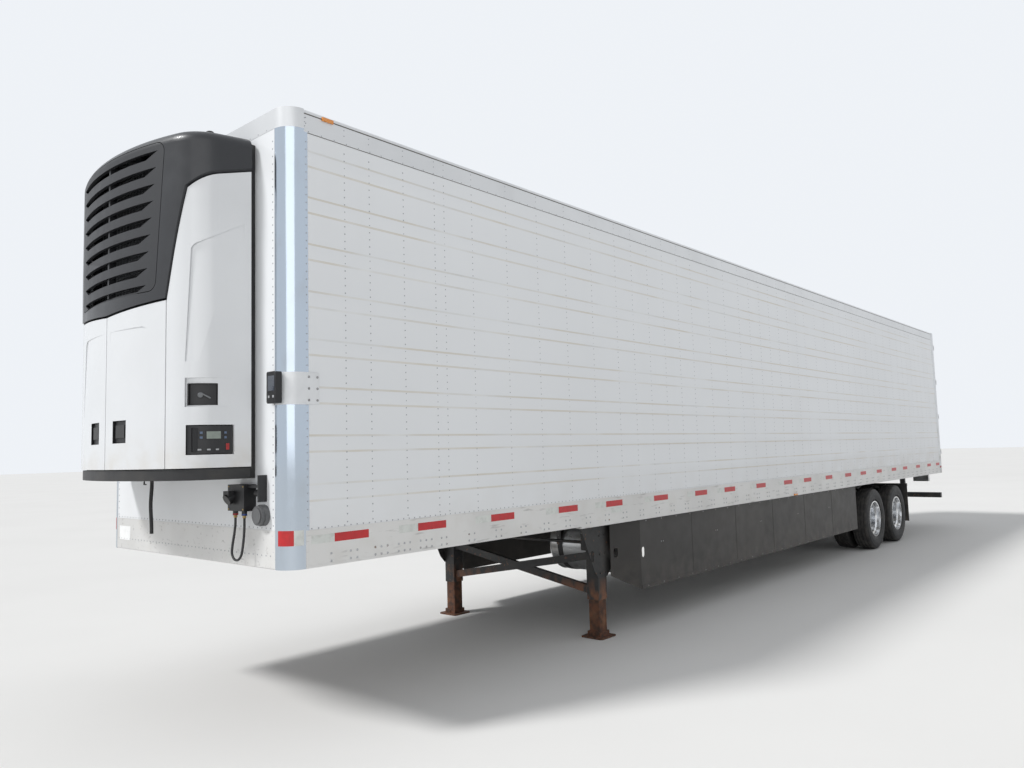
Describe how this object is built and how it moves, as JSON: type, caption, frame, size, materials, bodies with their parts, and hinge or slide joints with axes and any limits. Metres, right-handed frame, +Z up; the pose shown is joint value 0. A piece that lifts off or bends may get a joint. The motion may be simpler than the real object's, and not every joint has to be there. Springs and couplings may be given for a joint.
{
  "type": "refrigerated semi trailer",
  "caption": "Long insulated box semi trailer with a nose cooling unit, landing legs, tandem twin wheels, side skirts and swinging rear doors, parked uncoupled.",
  "frame": {"origin": "on the ground under the middle of the whole trailer", "axes": "+X forward to the nose, +Y to the trailer's left, +Z up"},
  "size_m": [16.734, 2.624, 4.115],
  "materials": {
    "white_panel": "gloss white",
    "white_cover": "gloss",
    "dark_cover": "satin moulded",
    "grille": "satin moulded",
    "polished_steel": "polished",
    "rail_aluminium": "mill and painted white",
    "floor_aluminium": "extruded",
    "black_steel": "satin black",
    "leg_steel": "worn black",
    "rusty_steel": "rusted",
    "coupler_steel": "greased steel",
    "pin_steel": "machined",
    "tank_aluminium": "brushed",
    "skirt_panel": "satin",
    "tyre": "moulded",
    "wheel_alloy": "polished",
    "rubber": "matte",
    "stainless": "brushed",
    "hardware_steel": "galvanised",
    "coil": "dark finned",
    "engine": "cast",
    "lamp_lens": "moulded lens",
    "panel_face": "black"
  },
  "bodies": {
    "trailer": {"front_wall": "white_panel", "nose_bottom_rail": "white_panel", "corner_posts": "polished_steel", "side_wall_left": "white_panel", "side_wall_right": "white_panel", "roof": "white_panel", "top_rails": "rail_aluminium", "nose_top_rail": "rail_aluminium", "bottom_rails": "rail_aluminium", "floor": "floor_aluminium", "cross_members": "rail_aluminium", "upper_coupler": "coupler_steel", "kingpin": "pin_steel", "landing_legs": "leg_steel", "landing_feet": "rusty_steel", "leg_braces": "leg_steel", "landing_crank": "leg_steel", "fuel_tank": "tank_aluminium", "fuel_tank_straps": "black_steel", "side_skirts": "skirt_panel", "slide_rails": "black_steel", "bogie_frame": "black_steel", "trailing_arms": "black_steel", "air_springs": "rubber", "axles": "black_steel", "mud_flaps": "rubber", "underride_guard": "black_steel", "rear_posts": "stainless", "rear_header": "stainless", "rear_sill": "stainless", "dock_bumpers": "rubber", "unit_frame": "black_steel", "unit_shroud": "dark_cover", "condenser_grille": "grille", "condenser_coil": "coil", "engine_block": "engine", "control_panel": "panel_face", "document_holder": "dark_cover", "nose_connectors": "black_steel", "display_bracket": "white_panel", "marker_lamps": "lamp_lens", "drain_hose": "rubber", "air_hose": "rubber"},
    "swing_door_left": {"rear_door_left": "white_panel", "door_hardware_left": "hardware_steel"},
    "unit_front_left": {"unit_door_left": "white_cover"},
    "unit_corner_left": {"unit_side_left": "white_cover"},
    "twin_front_left": {"tyres_front_left": "tyre", "wheels_front_left": "wheel_alloy"},
    "twin_rear_left": {"tyres_rear_left": "tyre", "wheels_rear_left": "wheel_alloy"},
    "swing_door_right": {"rear_door_right": "white_panel", "door_hardware_right": "hardware_steel"},
    "unit_front_right": {"unit_door_right": "white_cover"},
    "unit_corner_right": {"unit_side_right": "white_cover"},
    "twin_front_right": {"tyres_front_right": "tyre", "wheels_front_right": "wheel_alloy"},
    "twin_rear_right": {"tyres_rear_right": "tyre", "wheels_rear_right": "wheel_alloy"}
  },
  "joints": [
    {"name": "twin_front_left_turn", "type": "hinge", "parent": "trailer", "child": "twin_front_left", "pos_m": [-3.713, 0.984, 0.508], "axis": [0, 1, 0], "continuous": true},
    {"name": "twin_rear_left_turn", "type": "hinge", "parent": "trailer", "child": "twin_rear_left", "pos_m": [-4.963, 0.984, 0.508], "axis": [0, 1, 0], "continuous": true},
    {"name": "rear_door_left_swing", "type": "hinge", "parent": "trailer", "child": "swing_door_left", "pos_m": [-8.353, 1.286, 2.6], "axis": [0, 0, -1], "range_deg": [0, 270]},
    {"name": "unit_door_left_swing", "type": "hinge", "parent": "trailer", "child": "unit_front_left", "pos_m": [8.2602, 0.66, 2.3], "axis": [0, 0, 1], "range_deg": [0, 95]},
    {"name": "unit_side_left_swing", "type": "hinge", "parent": "trailer", "child": "unit_corner_left", "pos_m": [7.832, 0.9597, 2.7], "axis": [0, 0, 1], "range_deg": [0, 90]},
    {"name": "twin_front_right_turn", "type": "hinge", "parent": "trailer", "child": "twin_front_right", "pos_m": [-3.713, -0.984, 0.508], "axis": [0, 1, 0], "continuous": true},
    {"name": "twin_rear_right_turn", "type": "hinge", "parent": "trailer", "child": "twin_rear_right", "pos_m": [-4.963, -0.984, 0.508], "axis": [0, 1, 0], "continuous": true},
    {"name": "rear_door_right_swing", "type": "hinge", "parent": "trailer", "child": "swing_door_right", "pos_m": [-8.353, -1.286, 2.6], "axis": [0, 0, 1], "range_deg": [0, 270]},
    {"name": "unit_door_right_swing", "type": "hinge", "parent": "trailer", "child": "unit_front_right", "pos_m": [8.2602, -0.66, 2.3], "axis": [0, 0, -1], "range_deg": [0, 95]},
    {"name": "unit_side_right_swing", "type": "hinge", "parent": "trailer", "child": "unit_corner_right", "pos_m": [7.832, -0.9597, 2.7], "axis": [0, 0, -1], "range_deg": [0, 90]}
  ]
}
